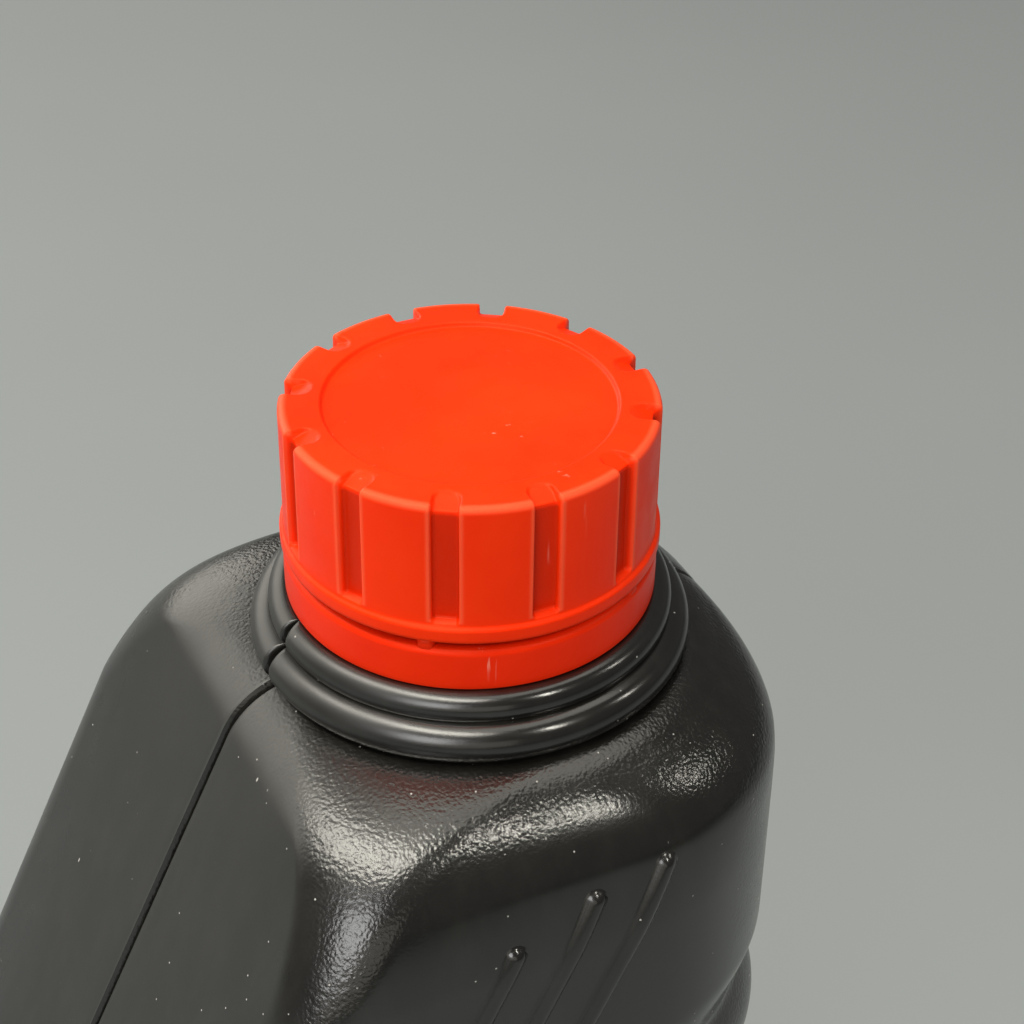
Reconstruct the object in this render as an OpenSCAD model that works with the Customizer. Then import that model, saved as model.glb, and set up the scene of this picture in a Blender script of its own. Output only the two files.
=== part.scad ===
// One-litre oil bottle, blow moulded, with an offset neck, a slanted side, a ribbed grip side
// and a fluted screw cap over a tamper band.
// Millimetres, +Z up. The origin is under the middle of the base, X runs along the width
// with the grip side at +X, and the front face looks along -Y.

/* [Body] */
// Overall width, from the slanted side to the grip side
body_w = 100; // [92:1:116]
// Overall depth, from front face to back face
body_d = 69.4; // [64:0.2:80]
// Height of the shoulder that the collar stands on
shoulder_h = 198.4; // [185:0.2:230]
// Thickness of the blown wall
wall = 1.2; // [0.8:0.1:1.8]
// Plan radius of the two corners at the slanted side
slant_corner_r = 7; // [5:0.5:12]
// Plan radius of the two corners at the grip side
grip_corner_r = 27.3; // [20:0.1:30]
// Radius of the roll round the base
base_roll = 5; // [3:0.5:8]
// Width of the rim that the bottle stands on
base_rim = 6; // [4:0.5:9]
// Height of the hollow under the base
base_rise = 2.5; // [1:0.5:4]

/* [Shoulder] */
// Distance of the neck axis from the grip side
neck_inset = 31.5; // [29:0.5:38]
// Shoulder between the collar and the roll to the front and back faces
front_land = 3.6; // [2:0.2:6]
// Shoulder between the collar and the roll to the grip side
grip_land = 3.4; // [2:0.2:5]
// Shoulder between the collar and the roll to the slanted side
slant_land = 0.3; // [0.1:0.1:3]
// Drop of the roll to the front and back faces at the grip side
roll_h_grip = 9.2; // [7:0.2:16]
// Drop of the same roll at the slanted side
roll_h_slant = 18; // [10:0.5:22]
// Drop of the roll to the grip side
grip_roll_h = 12.2; // [8:0.2:16]
// Radius of the roll to the slanted side
slant_roll_r = 9.6; // [6:0.2:13]
// Plan radius of the shoulder's corners below the collar
top_corner_r = 10.6; // [8:0.2:18]
// Plan radius of the same corners where they meet the collar
crown_corner_r = 20; // [12:0.5:22]
// How fast the corners widen towards the collar
crown_power = 6; // [2:1:8]
// Fullness of the roll to the front and back faces: 2 is a quarter ellipse, less is flatter
dome_power = 1.6; // [1.4:0.05:2]
// Lean of the slanted side from upright, in degrees
slant_angle = 26; // [18:1:32]
// Blend between the slanted side and the upright side below it
slant_blend = 14; // [6:1:24]

/* [Grip] */
// Height at which the grip side starts to curve in
grip_top = 164.5; // [155:0.5:172]
// Height of the curve that leads into the ribs
grip_knee = 8; // [5:0.5:12]
// Number of finger ribs
rib_count = 5; // [3:1:6]
// Height of one finger rib
rib_pitch = 13.5; // [10:0.5:15]
// Depth of the creases between the ribs
rib_depth = 2.8; // [1:0.1:3.4]

/* [Beads] */
// Number of slanting beads on each face
bead_count = 3; // [1:1:4]
// Width of a bead
bead_w = 2.2; // [1.6:0.1:3]
// Height of a bead above the face
bead_h = 0.8; // [0.5:0.1:1]
// Sideways distance from one bead to the next
bead_pitch = 7.5; // [6:0.1:9]
// Distance of the first bead's tip from the neck axis, towards the grip side
bead_tip_x = 7; // [2:0.5:12]
// Drop of the first bead's tip below the shoulder
bead_tip_drop = 9.8; // [9:0.1:16]
// Fall of the second bead's tip below the first
bead_tip_fall = 1.7; // [0:0.1:4]
// How fast that fall grows from bead to bead: 1 is steady
bead_tip_bend = 1.67; // [1:0.01:2]
// Height of the beads' lower ends above the base
bead_foot = 140; // [110:1:150]

/* [Collar and neck] */
// Radius of the collar under its two rings
collar_r = 20.2; // [19:0.1:22]
// Height from the shoulder to the lower edge of the tamper band
collar_h = 7.5; // [7:0.1:10]
// Wall of the collar
collar_wall = 1.8; // [1.2:0.1:2.4]
// Tube radius of the collar's upper ring
upper_ring_r = 1.9; // [1.4:0.1:2.2]
// Tube radius of the collar's lower ring
lower_ring_r = 2.4; // [1.8:0.1:2.8]
// How far the lower ring's centre stands out from the collar
lower_ring_out = 1.6; // [0.8:0.1:2.2]
// Outer radius of the neck below its thread
neck_r = 16.4; // [15:0.1:17]
// Wall of the neck
neck_wall = 2; // [1.4:0.1:2.6]
// Height of the bead that holds the tamper band above the shoulder
hold_bead_h = 11; // [10.5:0.1:12]
// Section radius of that bead
hold_bead_r = 1.4; // [1:0.1:1.6]

/* [Thread] */
// Rise of the thread in one turn
thread_pitch = 4; // [3.5:0.1:5]
// Turns of thread on the neck
neck_turns = 1.5; // [1:0.25:1.5]
// Turns of thread inside the cap
cap_turns = 1.25; // [1:0.25:1.5]
// Height of the neck's thread above the neck
thread_h = 1; // [0.6:0.1:1.1]
// Axial width of a thread at its root
thread_root = 2.2; // [1.6:0.1:2.4]
// Axial width of a thread at its crest
thread_crest = 1; // [0.6:0.1:1.4]
// Radial clearance between a thread's crest and the facing wall
thread_gap = 0.35; // [0.2:0.05:0.6]
// Height of the neck thread's start above the cap's lower edge
thread_start = 3.3; // [2.5:0.1:4]

/* [Cap] */
// Outer radius of the cap
cap_r = 20; // [19.6:0.1:23]
// Height of the cap
cap_h = 16.3; // [15.5:0.1:20]
// Thickness of the cap's top
cap_top_t = 1.7; // [1.2:0.1:2.5]
// Step of the flange round the cap's lower edge
flange_out = 0.43; // [0.2:0.01:0.8]
// Height of that flange
flange_h = 1.8; // [1:0.1:3]
// Rounding of the cap's upper edge
cap_edge = 0.7; // [0.3:0.1:1.2]
// Radius of the sunk disc in the cap's top
disc_r = 15.5; // [12:0.1:16.4]
// Depth of the sunk disc
disc_sink = 0.5; // [0.2:0.1:1]
// Number of flutes round the cap
flute_count = 12; // [8:1:16]
// Width of a flute
flute_w = 2.8; // [2:0.1:4]
// Depth of a flute
flute_d = 1; // [0.5:0.1:1.2]
// Plain height left between a flute's foot and the flange
flute_foot = 0.4; // [0.2:0.1:1]
// How far a flute's scoop runs in over the cap's top
flute_scoop = 2.6; // [1.5:0.1:3.2]
// Lean of that scoop from upright, in degrees
scoop_lean = 52; // [30:1:60]
// Turn of the first flute from the grip side, in degrees
flute_phase = -2; // [-15:1:15]
// Thickness of the sealing liner
liner_t = 1.2; // [0.8:0.1:2]
// Clearance round the liner's edge
liner_gap = 0.4; // [0.2:0.1:0.8]
// Clearance above and below the liner
seal_gap = 0.05; // [0.02:0.01:0.1]

/* [Tamper band] */
// Height of the band
band_h = 5.3; // [4:0.1:6]
// Outer radius of the band
band_r = 20.2; // [19.6:0.1:23]
// Thickness of the band
band_t = 1.4; // [1:0.1:1.6]
// Slit between the band and the cap
band_slit = 0.6; // [0.4:0.1:1]
// Number of break bridges
bridge_count = 5; // [3:1:12]
// Width of a break bridge
bridge_w = 2.2; // [1:0.1:3]
// Clearance between the stub of a bridge and the cap
bridge_gap = 0.25; // [0.2:0.05:0.3]
// Turn of the first bridge from the grip side, in degrees
bridge_phase = 232; // [0:1:360]
// Clearance between the band's inner lip and the neck
lip_gap = 0.3; // [0.2:0.05:0.5]

/* [Hidden] */

bottle_colour = "#1c1b1a";
cap_colour = "#f4432a";
liner_colour = "#e9e6dc";

round_fn = 96;
tube_fn = 48;
bead_fn = 32;
edge_steps = 4;
// Turn steps of a screw thread, and the steps over which it fades in and out
turn_steps = 36;
fade_steps = 3;
// Share of a thread's height left at its two ends
thread_end = 0.15;
// Share of the wall that a bead reaches into
bead_root = 0.8;
// Overlap that joins two solids of one piece
sink = 0.4;
// Points on each quarter of the section, at the grip side and at the slanted side
grip_steps = 8;
slant_steps = 5;
// Points along each straight stretch of the front and back faces
face_steps = 4;
roll_steps = 10;
base_steps = 4;
knee_steps = 4;
rib_stations = [0.15, 0.5, 0.85, 1];
// Least corner radius left after an inset
least_r = 0.8;

neck_x = body_w / 2 - neck_inset;
roll_w = body_d / 2 - collar_r - front_land;
grip_roll_w = neck_inset - collar_r - grip_land;
grip_end = grip_top - 2 * grip_knee - rib_count * rib_pitch;

band_z = shoulder_h + collar_h;
cap_z = band_z + band_h + band_slit;
cap_top = cap_z + cap_h;
ceiling_z = cap_top - disc_sink - cap_top_t;
rim_z = ceiling_z - liner_t - 2 * seal_gap;

bore_r = neck_r - neck_wall;
collar_in = collar_r - collar_wall;
lower_ring_z = shoulder_h + lower_ring_r - sink;
upper_ring_z = band_z - upper_ring_r - lip_gap;
thread_r = neck_r + thread_h;
cap_in = thread_r + thread_gap;
neck_thread_z = cap_z + thread_start;
cap_thread_z = neck_thread_z - thread_pitch / 2;
flange_r = cap_r + flange_out;
bridge_stub = band_slit - bridge_gap;

// Outward run of a quarter-round roll of height h and width w, at depth t below its top
function roll_out(t, h, w) = w * sqrt(1 - pow(1 - min(max(t, 0) / h, 1), 2));
// The larger of two values, with a rounded change-over of size k
function soft_max(a, b, k) = max(a, b) + pow(max(k - abs(a - b), 0), 2) / (4 * k);
function ease(u) = u * u * (3 - 2 * u);
function shrink(r, by) = max(r - by, least_r);

// How far the grip side is scooped in at height z: a knee, the ribs, then a knee out again
function crease(v) = 1 - abs(sin(180 * v));
function scoop(z) =
    let (u = grip_top - z, ribs = rib_count * rib_pitch)
    u <= 0 ? 0 :
    u < grip_knee ? rib_depth * ease(u / grip_knee) :
    u <= grip_knee + ribs ? rib_depth * crease((u - grip_knee) / rib_pitch) :
    u < 2 * grip_knee + ribs ? rib_depth * (1 - ease((u - grip_knee - ribs) / grip_knee)) :
    0;

// Slanted side: roll from the shoulder, straight slant, then the upright side. g is the wall inset
function slant_x(z, g) =
    let (t = shoulder_h - g - z, r = slant_roll_r - g, bend = r * (1 - sin(slant_angle)))
    let (start = neck_x - collar_r - slant_land)
    t < bend
        ? start - roll_out(t, r, r)
        : start - r * cos(slant_angle) - (t - bend) * tan(slant_angle);
function left_x(z, g) = soft_max(slant_x(z, g), g - body_w / 2, slant_blend);
function right_x(z, g) =
    let (t = shoulder_h - g - z)
    body_w / 2 - grip_roll_w + roll_out(t, grip_roll_h - g, grip_roll_w - g) - scoop(z);
function half_d(z, g, drop) =
    let (rise = 1 - min(max(shoulder_h - g - z, 0) / (drop - g), 1))
    body_d / 2 - roll_w + (roll_w - g) * pow(1 - pow(rise, dome_power), 1 / dome_power);
function slant_corner(z, g) =
    let (rise = max(1 - (shoulder_h - g - z) / roll_h_slant, 0))
    let (crown = (crown_corner_r - top_corner_r) * pow(rise, crown_power))
    slant_corner_r - g + (top_corner_r - slant_corner_r) * rise + crown;

function arc(cx, cy, r, from, steps) =
    [for (i = [0 : steps]) [cx + r * cos(from + 90 * i / steps), cy + r * sin(from + 90 * i / steps)]];
function between(p, q, steps) = [for (i = [1 : steps - 1]) p + (q - p) * i / steps];

// Rounded section from xl to xr, half depth dl at the slanted side and dr at the grip side
function section(xl, xr, dl, dr, rl, rr) =
    let (front_r = arc(xr - rr, rr - dr, rr, -90, grip_steps))
    let (back_r = arc(xr - rr, dr - rr, rr, 0, grip_steps))
    let (back_l = arc(xl + rl, dr - rl, rl, 90, slant_steps))
    let (front_l = arc(xl + rl, rl - dr, rl, 180, slant_steps))
    let (outline = concat(
        front_r, back_r,
        between(back_r[grip_steps], back_l[0], face_steps), back_l,
        between(back_l[slant_steps], front_l[0], 2), front_l,
        between(front_l[slant_steps], front_r[0], face_steps)))
    [for (p = outline) [p.x, p.y * (1 - (xr - p.x) / (xr - xl) * (1 - dl / dr))]];

// One ring of the shell at height z: g is the wall inset, i the inset of the base
function ring(z, g, i) =
    let (s = max(z, base_roll))
    let (dr = half_d(s, g, roll_h_grip) - i, dl = half_d(s, g, roll_h_slant) - i)
    let (rr = shrink(min(grip_corner_r - g, dr + i - least_r), i), rl = shrink(slant_corner(s, g), i))
    [for (p = section(left_x(s, g) + i, right_x(s, g) - i, dl, dr, rl, rr)) [p.x, p.y, z]];

// Circle through which the collar opens into the shell, its points facing those of a ring
function mouth(points, z) =
    let (r = collar_r - collar_wall / 2)
    [for (p = points)
        let (a = atan2(p.y, p.x - neck_x))
        [neck_x + r * cos(a), r * sin(a), z]];

// Rings from the hollow under the base up to the shoulder
function base_rings(g) =
    let (r = base_roll - g, foot = base_roll + base_rim)
    concat(
        [ring(base_rise + g, g, foot + base_rise - g), ring(g, g, foot - g)],
        [for (k = [0 : base_steps - 1])
            let (a = 90 * k / base_steps)
            ring(base_roll - r * cos(a), g, r * (1 - sin(a)))]);
function grip_rings(g) = [
    for (z = concat(
        [for (k = [0 : knee_steps]) grip_end + grip_knee * k / knee_steps],
        [for (n = [0 : rib_count - 1], v = rib_stations) grip_end + grip_knee + (n + v) * rib_pitch],
        [for (k = [1 : knee_steps]) grip_top - grip_knee + grip_knee * k / knee_steps]))
    ring(z, g, 0)];
function roll_rings(g) = [
    for (k = [0 : roll_steps])
        let (t = roll_h_slant * (1 - sin(90 * k / roll_steps)))
        ring(shoulder_h - g - t, g, 0)];
function skin(g) = concat(base_rings(g), [ring(base_roll, g, 0)], grip_rings(g), roll_rings(g));
function flip(rings) = [for (k = [len(rings) - 1 : -1 : 0]) rings[k]];

// Solid between a chain of rings, closed at the first and the last by a fan round a middle point
function middle(points) = [for (p = points) 1 / len(points)] * points;
module ring_solid(rings) {
    n = len(rings[0]);
    last = (len(rings) - 1) * n;
    hubs = len(rings) * n;
    sides = [
        for (k = [0 : len(rings) - 2], j = [0 : n - 1])
            let (a = k * n + j, b = k * n + (j + 1) % n)
            each [[a, a + n, b + n], [a, b + n, b]]];
    ends = [
        for (j = [0 : n - 1])
            let (next = (j + 1) % n)
            each [[hubs, j, next], [hubs + 1, last + next, last + j]]];
    points = [for (r = rings) each r];
    polyhedron(concat(points, [middle(rings[0]), middle(rings[len(rings) - 1])]), concat(sides, ends));
}

module shell() {
    outside = skin(0);
    inside = flip(skin(wall));
    shoulder = outside[len(outside) - 1];
    ring_solid(concat(
        outside,
        [mouth(shoulder, shoulder_h), mouth(inside[0], shoulder_h - wall)],
        inside));
}

// Screw rib of trapezium section round the Z axis, fading in and out at its ends
module screw_rib(root_r, crest_r, turns, z) {
    steps = round(turns * turn_steps);
    rings = [
        for (i = [0 : steps])
            let (a = 360 * i / turn_steps, up = z + thread_pitch * i / turn_steps)
            let (full = max(min(i, steps - i, fade_steps) / fade_steps, thread_end))
            let (r = root_r + (crest_r - root_r) * full)
            [for (p = [
                [root_r, -thread_root / 2], [r, -thread_crest / 2],
                [r, thread_crest / 2], [root_r, thread_root / 2]])
                [p.x * cos(a), p.x * sin(a), up + p.y]]];
    ring_solid(crest_r > root_r ? [for (r = rings) flip(r)] : rings);
}

module neck() {
    low = shoulder_h - wall / 2;
    throat = upper_ring_z + upper_ring_r / 2;
    taper = collar_in - bore_r;
    rotate_extrude($fn = round_fn)
        polygon([
            [collar_in, low], [collar_r, low], [collar_r, upper_ring_z], [neck_r, throat],
            [neck_r, rim_z], [bore_r, rim_z], [bore_r, upper_ring_z],
            [collar_in, max(upper_ring_z - taper, low + sink)]]);
    for (p = [
        [collar_r + lower_ring_out, lower_ring_z, lower_ring_r],
        [collar_r, upper_ring_z, upper_ring_r],
        [neck_r, shoulder_h + hold_bead_h, hold_bead_r]])
        rotate_extrude($fn = round_fn)
            translate([p[0], p[1]])
                circle(p[2], $fn = tube_fn);
    screw_rib(neck_r - sink, thread_r, neck_turns, neck_thread_z);
}

// Slanting bead lying along the front face, its outer part only
module bead(n) {
    r = (bead_w * bead_w / 4 + bead_h * bead_h) / (2 * bead_h);
    fall = bead_tip_fall * pow(n, bead_tip_bend);
    tip_z = shoulder_h - bead_tip_drop - fall;
    tip_x = neck_x + bead_tip_x - n * bead_pitch - fall * tan(slant_angle);
    run = (tip_z - bead_foot) / cos(slant_angle);
    translate([tip_x, r - bead_h - body_d / 2, tip_z])
        rotate([0, slant_angle, 0]) {
            sphere(r, $fn = bead_fn);
            translate([0, 0, -run])
                cylinder(run, r, r, $fn = bead_fn);
            translate([0, 0, -run])
                sphere(r, $fn = bead_fn);
        }
}

module beads() {
    slab = bead_h + wall * bead_root;
    intersection() {
        for (n = [0 : bead_count - 1])
            bead(n);
        translate([-body_w / 2, -body_d / 2 - bead_h, 0])
            cube([body_w, slab, shoulder_h]);
    }
}

module bottle() {
    color(bottle_colour)
    union() {
        shell();
        translate([neck_x, 0, 0])
            neck();
        beads();
        mirror([0, 1, 0])
            beads();
    }
}

// Slot up the cap's side, with a scoop that runs out over its top
module flute() {
    foot = cap_z + flange_h + flute_foot;
    floor_r = cap_r - flute_d;
    reach = flute_d + flute_scoop;
    half = flute_w / 2;
    translate([floor_r, -half, foot])
        cube([flute_d + flange_out + sink, flute_w, cap_h]);
    translate([cap_r - reach, 0, cap_top])
        rotate([0, scoop_lean, 0])
            translate([-half, 0, -half])
                cylinder(2 * reach, half, half, $fn = bead_fn);
}

module screw_cap() {
    edge = [
        for (k = [0 : edge_steps])
            let (a = 90 * k / edge_steps)
            [cap_r - cap_edge * (1 - cos(a)), cap_top - cap_edge * (1 - sin(a))]];
    color(cap_colour)
    translate([neck_x, 0, 0]) {
        difference() {
            rotate_extrude($fn = round_fn)
                polygon(concat(
                    [[cap_in, cap_z], [flange_r, cap_z], [flange_r, cap_z + flange_h - flange_out],
                        [cap_r, cap_z + flange_h]],
                    edge,
                    [[disc_r + disc_sink, cap_top], [disc_r, cap_top - disc_sink],
                        [0, cap_top - disc_sink], [0, ceiling_z], [cap_in, ceiling_z]]));
            for (k = [0 : flute_count - 1])
                rotate([0, 0, flute_phase + 360 * k / flute_count])
                    flute();
        }
        screw_rib(cap_in + sink, neck_r + thread_gap, cap_turns, cap_thread_z);
    }
}

module tamper_band() {
    inner = band_r - band_t;
    lip = neck_r + lip_gap;
    lip_h = hold_bead_h - collar_h - hold_bead_r - lip_gap;
    color(cap_colour)
    translate([neck_x, 0, 0]) {
        rotate_extrude($fn = round_fn)
            polygon([
                [lip, band_z], [band_r, band_z], [band_r, band_z + band_h - cap_edge],
                [band_r - cap_edge, band_z + band_h], [inner, band_z + band_h],
                [inner, band_z + lip_h + inner - lip], [lip, band_z + lip_h]]);
        for (k = [0 : bridge_count - 1])
            rotate([0, 0, bridge_phase + 360 * k / bridge_count])
                translate([inner, -bridge_w / 2, band_z + band_h - sink])
                    cube([band_t - cap_edge, bridge_w, sink + bridge_stub]);
    }
}

module cap_liner() {
    color(liner_colour)
    translate([neck_x, 0, rim_z + seal_gap])
        cylinder(liner_t, cap_in - liner_gap, cap_in - liner_gap, $fn = round_fn);
}

bottle();
screw_cap();
tamper_band();
cap_liner();
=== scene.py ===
"""Oil bottle: a fine shell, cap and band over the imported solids, with moulded-plastic materials."""

import math

import bpy
import numpy as np
from mathutils import Matrix, Vector


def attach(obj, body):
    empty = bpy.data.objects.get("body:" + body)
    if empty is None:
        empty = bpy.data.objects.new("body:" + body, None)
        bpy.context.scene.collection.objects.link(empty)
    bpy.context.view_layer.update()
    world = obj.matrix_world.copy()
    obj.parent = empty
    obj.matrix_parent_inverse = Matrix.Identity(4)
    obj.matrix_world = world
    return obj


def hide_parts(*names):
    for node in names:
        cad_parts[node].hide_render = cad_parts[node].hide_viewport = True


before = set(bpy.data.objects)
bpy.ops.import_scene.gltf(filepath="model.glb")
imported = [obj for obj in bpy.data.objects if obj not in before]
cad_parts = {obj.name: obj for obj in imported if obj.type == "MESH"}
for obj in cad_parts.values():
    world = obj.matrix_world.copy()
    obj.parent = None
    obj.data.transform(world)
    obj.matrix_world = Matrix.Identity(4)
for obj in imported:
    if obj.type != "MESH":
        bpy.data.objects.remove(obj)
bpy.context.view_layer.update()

# Lengths are in millimetres unless a comment says metres, which are Blender's unit
MM = 0.001

# Shell, as in the solids
BODY_W, BODY_D, SHOULDER_H, WALL = 100.0, 69.4, 198.4, 1.2
SLANT_CORNER_R, GRIP_CORNER_R, TOP_CORNER_R, LEAST_CORNER_R = 7.0, 27.3, 10.6, 0.8
BASE_ROLL, BASE_RIM, BASE_RISE = 5.0, 6.0, 2.5
NECK_INSET, FRONT_LAND, GRIP_LAND, SLANT_LAND = 31.5, 3.6, 3.4, 0.3
ROLL_H_GRIP, ROLL_H_SLANT, GRIP_ROLL_H, SLANT_ROLL_R = 9.2, 18.0, 12.2, 9.6
SLANT_ANGLE, SLANT_BLEND = math.radians(26), 14.0
DOME_POWER, CROWN_CORNER_R, CROWN_POWER = 1.6, 20.0, 6
GRIP_TOP, GRIP_KNEE, RIB_COUNT, RIB_PITCH, RIB_DEPTH = 164.5, 8.0, 5, 13.5, 2.8

# Raised beads; each has a fillet at its foot and a skirt that dips into the shell
BEAD_COUNT, BEAD_W, BEAD_H, BEAD_PITCH = 3, 2.2, 0.8, 7.5
BEAD_TIP_X, BEAD_TIP_DROP, BEAD_TIP_FALL, BEAD_TIP_BEND = 7.0, 9.8, 1.7, 1.67
BEAD_FOOT = 140.0
BEAD_FILLET_H, BEAD_FILLET_W, BEAD_SKIRT = 0.16, 0.4, 0.55
BEAD_DIP, BEAD_DIP_START, BEAD_DIP_W = 0.1, 0.2, 0.3

# Parting line: a narrow slit in a shallow V, with a thin lip of flash behind it high up
SLIT_D, SLIT_W, VEE_D, VEE_W = 1.0, 0.27, 0.12, 0.8
FLASH_H, FLASH_Y, FLASH_W, FLASH_Z, FLASH_RUN = 0.2, 0.62, 0.15, 112.0, 20.0
LINE_REACH, GRIP_LINE_SHARE = 2.2, 0.45

# Collar with two rings, whose ends are round noses at the parting line
COLLAR_R, COLLAR_H, COLLAR_IN = 20.2, 7.5, 18.4
UPPER_RING_R, LOWER_RING_R, LOWER_RING_OUT = 1.9, 2.4, 1.6
RING_SINK, RING_GAP, RING_ROOT, MOUTH_LAP = 0.4, 0.3, 0.7, 0.9
RING_FOOT_ANGLE, RING_TOP_ANGLE, RING_STEPS = -75, 120, 26
GRIP_NOSE, BACK_NOSE, FRONT_NOSE, GRIP_NOSE_SHARE = 0.6, 0.4, 1.3, 0.55

# Neck and thread
NECK_R, BORE_R, HOLD_BEAD_H, HOLD_BEAD_R = 16.4, 14.4, 11.0, 1.4
HOLD_BEAD_ANGLE, HOLD_BEAD_STEPS, RIM_STEPS, BORE_STEPS = 88, 14, 6, 5
COVE_OUT, COVE_FOOT, COVE_TOP, RIM_EDGE, BORE_EDGE = 1.2, 1.3, 1.8, 0.5, 0.4
THREAD_PITCH, THREAD_H, THREAD_ROOT, THREAD_CREST = 4.0, 1.0, 2.2, 1.0
THREAD_START, NECK_TURNS, CAP_TURNS, THREAD_GAP = 3.3, 1.5, 1.25, 0.35
NECK_THREAD_SINK, CAP_THREAD_SINK = 0.2, 0.1
THREAD_STEPS, THREAD_FADE, THREAD_LEAST = 60, 5, 0.05
# A thread's bevel starts at a share of its height; widths are shares of the crest's
THREAD_BEVEL, THREAD_BEVEL_W, THREAD_FLAT_W = 0.85, 1.15, 0.8

# Cap
CAP_R, CAP_H, FLANGE_R, FLANGE_H = 20.0, 16.3, 20.43, 1.8
CAP_EDGE, FLANGE_EDGE, FLANGE_BLEND, FOOT_EDGE = 0.7, 0.4, 0.25, 0.2
FLANGE_FOOT_R, FLANGE_FOOT_BEVEL = 0.25, 0.07
DISC_R, DISC_SINK, DISC_DISH, DISC_EDGE = 15.5, 0.5, 0.15, 0.3
CAP_IN, CAP_ROOF, LINER_T = 17.75, 1.7, 1.3

# Thumb flutes, each with a ramp under an arch at the cap's rim
FLUTE_COUNT, FLUTE_W, FLUTE_D, FLUTE_FOOT = 12, 2.8, 1.0, 0.4
FLUTE_PHASE, FLUTE_CORNER, FLUTE_LIP, FLUTE_WALL = math.radians(-2), 0.4, 0.28, 0.6
RAMP_R, RAMP_DROP, ARCH_EDGE, ARCH_BLEND = 16.7, 1.0, 0.35, 0.06
FLUTE_FLOOR_STEPS, FLUTE_WALL_STEPS, FLUTE_LAND_STEPS = 4, 15, 8

# Rays that find the cap's surface, from a circle inside its rim
FOCUS_R, FOCUS_DROP, RAY_REACH, RAY_TRIES, RAY_STRIDE = 15.9, 2.4, 9.0, 90, 0.85
EDGE_RAY_STEPS = 45

# Tamper band, its sag at the front left and the stubs of its break bridges
BAND_H, BAND_R, BAND_T, BAND_SLIT = 5.3, 20.2, 1.4, 0.6
BAND_FOOT_EDGE, BAND_TOP_EDGE, BAND_BEVEL, BAND_STEPS = 0.25, 0.9, 0.1, 300
BAND_LIP_GAP, BAND_LIP_H, BAND_LIP_SLOPE = 0.3, 1.5, 1.1
BAND_FOOT_IN, BAND_FOOT_OUT, BAND_FOOT_STEPS, BAND_TOP_STEPS = 0.2, 0.6, 6, 14
# Insets of the band's slightly barrelled wall: foot, two places up it and top
FOOT_INSET, LOW_INSET, MID_INSET, TOP_INSET = 0.05, 0.03, 0.02, 0.04
LOW_WALL_H, MID_WALL_H, TOP_WALL_DROP = 0.8, 2.4, 1.2
# Waver of the band's wall: size, waves a turn and phase
BAND_WAVES = [(0.03, 3, 1.0), (0.02, 7, 0.0)]
SAG_ANGLE, SAG_SPREAD, SAG_FOOT, SAG_TOP = math.radians(236), 1.25, 0.27, 0.2
BRIDGE_COUNT, BRIDGE_W, BRIDGE_PHASE = 5, 2.0, math.radians(232)
BRIDGE_ROOT, BRIDGE_CLEAR, BRIDGE_EDGE, BRIDGE_STEPS = 0.9, 0.08, 0.3, 9
# Insets of a stub's front from the band's wall: tip, upper edge, lower edge and root
BRIDGE_INSETS = (0.55, 0.2, 0.12, 0.3)
# Roundness of a stub's plan, and the share of its height that its sides keep
BRIDGE_CROWD, BRIDGE_LIMIT, BRIDGE_POWER, BRIDGE_SIDE_H = 0.8, 0.98, 4, 0.75

# Places and sizes that follow from those above
NECK_X = BODY_W / 2 - NECK_INSET
ROLL_W = BODY_D / 2 - COLLAR_R - FRONT_LAND
GRIP_ROLL_W = NECK_INSET - COLLAR_R - GRIP_LAND
GRIP_END = GRIP_TOP - 2 * GRIP_KNEE - RIB_COUNT * RIB_PITCH
BAND_Z = SHOULDER_H + COLLAR_H
BAND_TOP = BAND_Z + BAND_H
CAP_Z = BAND_TOP + BAND_SLIT
CAP_TOP = CAP_Z + CAP_H
CEILING_Z = CAP_TOP - DISC_SINK - CAP_ROOF
RIM_Z = CEILING_Z - LINER_T
FLUTE_Z = CAP_Z + FLANGE_H + FLUTE_FOOT
LOWER_RING_Z = SHOULDER_H + LOWER_RING_R - RING_SINK
UPPER_RING_Z = BAND_Z - UPPER_RING_R - RING_GAP
MOUTH_R = COLLAR_R - MOUTH_LAP

# Fineness of the shell: steps round a grip corner, round a slanted corner and along a face
FINE, COARSE, COARSE_SKIP = (34, 26, 44), (10, 8, 8), 4
LOW_STEPS, HIGH_STEPS, ROLL_STEPS, GRIP_STEP = 24, 14, 56, 0.75
BASE_STEPS, INNER_BASE_STEPS, LAND_STEPS, HOLLOW_SHARES = 14, 5, 7, (0.25, 0.6, 1.0)
BEAD_END_STEPS, BEAD_RUN_STEPS, BEAD_CROSS_STEPS = 25, 40, 27
# Places across a narrow end of the shell, close together at the parting line
NEAR_LINE = np.array([0, 0.1, 0.2, 0.32, 0.46, 0.62, 0.8, 1.05, 1.4, 2.0])
NEAR_SHARE, FAR_SHARES = 0.7, np.array([0.12, 0.26, 0.42, 0.6, 0.8])
# Angles of a quarter of the neck, close together at the parting line, in degrees
NEAR_ANGLES = np.array([0, 0.25, 0.5, 0.8, 1.15, 1.5, 1.9, 2.4, 2.9, 3.4, 4.2, 5.5, 7.5])
FAR_ANGLES = np.linspace(10, 90, 41)
SHARP_ANGLE = math.radians(60)


# The shell's sections, as in the solids. g is how far the surface lies inside the outer one.
def roll_out(t, h, w):
    """Way out of an elliptic roll of height h and width w, t below its top."""
    return w * np.sqrt(1 - (1 - np.minimum(np.maximum(t, 0) / h, 1)) ** 2)


def soft_max(a, b, k):
    """The larger of a and b, rounded over k where they meet."""
    return np.maximum(a, b) + np.maximum(k - np.abs(a - b), 0) ** 2 / (4 * k)


def ease(u):
    """Smooth step from 0 to 1."""
    u = np.clip(u, 0, 1)
    return u * u * (3 - 2 * u)


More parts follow.
